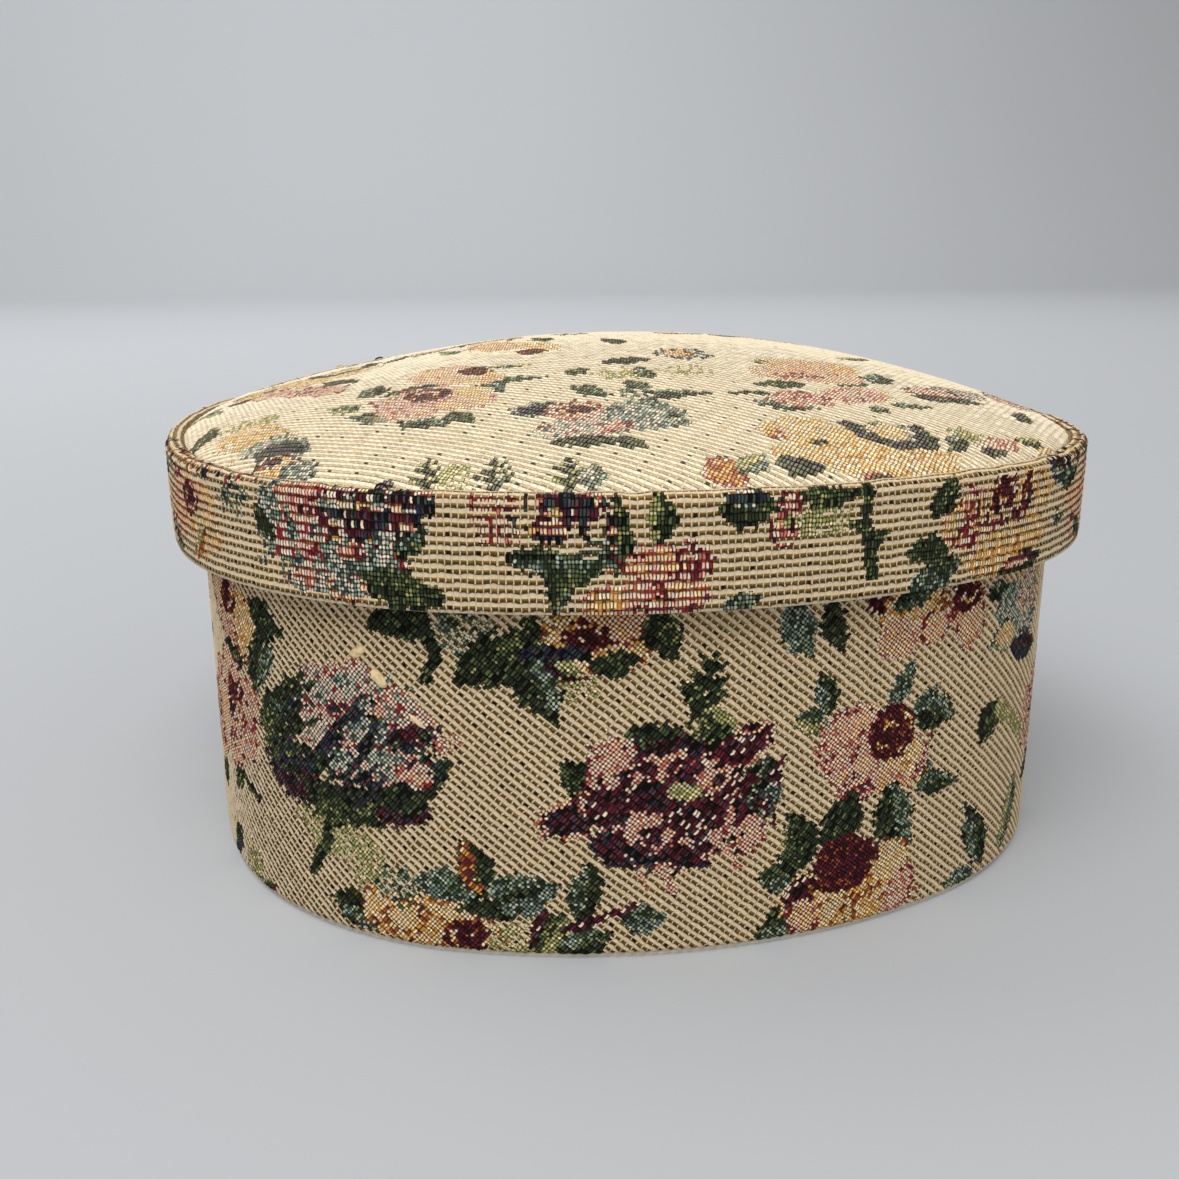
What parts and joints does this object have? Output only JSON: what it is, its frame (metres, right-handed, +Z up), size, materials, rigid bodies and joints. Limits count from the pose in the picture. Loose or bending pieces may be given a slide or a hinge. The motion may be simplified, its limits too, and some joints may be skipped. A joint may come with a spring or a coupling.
{
  "type": "fabric covered keepsake box",
  "caption": "Soft-cornered round keepsake box of card covered in woven floral fabric, with a padded, crowned lid whose skirt slips over the body.",
  "frame": {"origin": "on the surface the box stands on, under the middle of the box", "axes": "+X to the right along the length, +Y to the back, +Z up; the pictured front faces -Y"},
  "size_m": [0.2, 0.192, 0.1044],
  "materials": {
    "woven_cover": "matte",
    "lining": "satin",
    "card": "matte",
    "base_paper": "matte",
    "wadding": "matte"
  },
  "bodies": {
    "box": {"base_cover": "base_paper", "base_card": "card", "wall_card": "card", "body_fabric": "woven_cover", "wall_liner_card": "card", "wall_liner_fabric": "lining", "floor_liner_card": "card", "floor_liner_fabric": "lining"},
    "lid": {"lid_pad": "wadding", "lid_card": "card", "lid_top_fabric": "woven_cover", "skirt_card": "card", "skirt_fabric": "woven_cover", "skirt_lining": "lining", "lid_liner_card": "card", "lid_liner_fabric": "lining"}
  },
  "joints": [
    {"name": "lid_lift", "type": "slide", "parent": "box", "child": "lid", "axis": [0, 0, 1], "range_m": [0, 0.12]}
  ]
}
